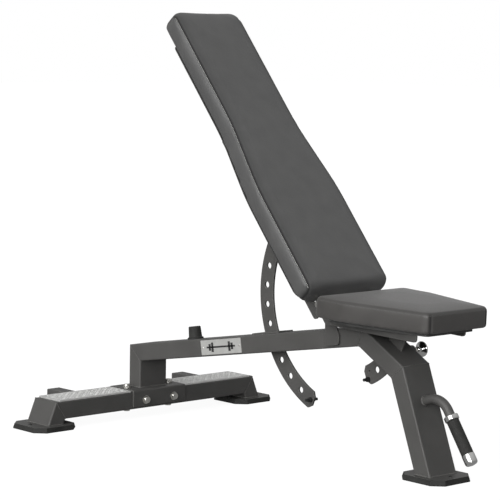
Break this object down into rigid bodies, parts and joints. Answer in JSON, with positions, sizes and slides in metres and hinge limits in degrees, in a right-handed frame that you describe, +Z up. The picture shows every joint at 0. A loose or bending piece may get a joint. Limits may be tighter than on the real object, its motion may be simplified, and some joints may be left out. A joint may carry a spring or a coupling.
{
  "type": "adjustable weight bench",
  "caption": "Adjustable weight bench with a hinged backrest and seat on a black steel frame, curved hole plates with pull pins, wide rear crossbar, carry handle and transport wheels",
  "frame": {"origin": "the middle of the bounding box's bottom face, on the floor under the middle of the bench", "axes": "+Z up; +X from the rear crossbar to the front foot, the way the sitter faces; +Y to the sitter's left"},
  "size_m": [1.4106, 0.8928, 1.1607],
  "materials": {
    "powder": "satin",
    "zinc": "satin",
    "chrome": "polished",
    "tread": "satin",
    "badge": "satin",
    "rubber": "matte",
    "wheel": "matte",
    "leather": "satin",
    "board": "matte"
  },
  "bodies": {
    "frame": {"backrest_pin_housing": "powder", "badge_plate": "badge", "badge_rivets": "zinc", "foot_boot_front": "rubber", "foot_boot_rear_left": "rubber", "foot_boot_rear_right": "rubber", "foot_plates": "powder", "foot_screws": "zinc", "front_leg": "powder", "handle_cap": "chrome", "handle_collar": "chrome", "handle_grip": "rubber", "handle_tube": "powder", "hinge_bolt": "zinc", "hinge_nut": "zinc", "hinge_spacers": "zinc", "hinge_washers": "zinc", "leg_shoulder": "powder", "main_beam": "powder", "main_post": "powder", "pin_springs": "zinc", "pivot_plate_left": "powder", "pivot_plate_right": "powder", "pivot_sleeve": "zinc", "rear_crossbar": "powder", "rear_leg_left": "powder", "rear_leg_right": "powder", "rear_saddle": "powder", "rubber_bumper": "rubber", "saddle_bolts": "zinc", "saddle_nuts": "zinc", "saddle_washers": "zinc", "seat_pin_housing": "powder", "slot_plate": "powder", "tread_plates": "tread", "wheel_axles": "zinc", "wheel_fork_left": "powder", "wheel_fork_right": "powder"},
    "backrest": {"backrest_rail_left": "powder", "backrest_rail_right": "powder", "backrest_cross_tube": "powder", "arc_ladder": "powder", "arc_stop_bolt": "zinc", "backrest_panel": "board", "backrest_pad": "leather", "backrest_screws": "zinc"},
    "seat": {"seat_rail_left": "powder", "seat_rail_right": "powder", "seat_cross_tube": "powder", "seat_selector": "powder", "selector_stop_bolt": "zinc", "seat_board": "board", "seat_pad": "leather", "seat_screws": "zinc"},
    "backrest_pin": {"backrest_pin_plunger": "zinc", "backrest_pin_knob": "chrome"},
    "seat_pin": {"seat_pin_plunger": "zinc", "seat_pin_knob": "chrome"},
    "wheel_left": {"transport_wheel_left": "wheel"},
    "wheel_right": {"transport_wheel_right": "wheel"}
  },
  "joints": [
    {"name": "backrest_hinge", "type": "hinge", "parent": "frame", "child": "backrest", "pos_m": [0.24574, 0, 0.415], "axis": [0, 1, 0], "range_deg": [-50, 30]},
    {"name": "seat_hinge", "type": "hinge", "parent": "frame", "child": "seat", "pos_m": [0.24574, 0, 0.415], "axis": [0, -1, 0], "range_deg": [0, 20]},
    {"name": "backrest_pin_slide", "type": "slide", "parent": "frame", "child": "backrest_pin", "axis": [0, -1, 0], "range_m": [0, 0.014]},
    {"name": "seat_pin_slide", "type": "slide", "parent": "frame", "child": "seat_pin", "axis": [0, -1, 0], "range_m": [0, 0.014]},
    {"name": "wheel_left_spin", "type": "hinge", "parent": "frame", "child": "wheel_left", "pos_m": [-0.67026, 0.235, 0.039], "axis": [0, 1, 0], "continuous": true},
    {"name": "wheel_right_spin", "type": "hinge", "parent": "frame", "child": "wheel_right", "pos_m": [-0.67026, -0.235, 0.039], "axis": [0, 1, 0], "continuous": true}
  ]
}
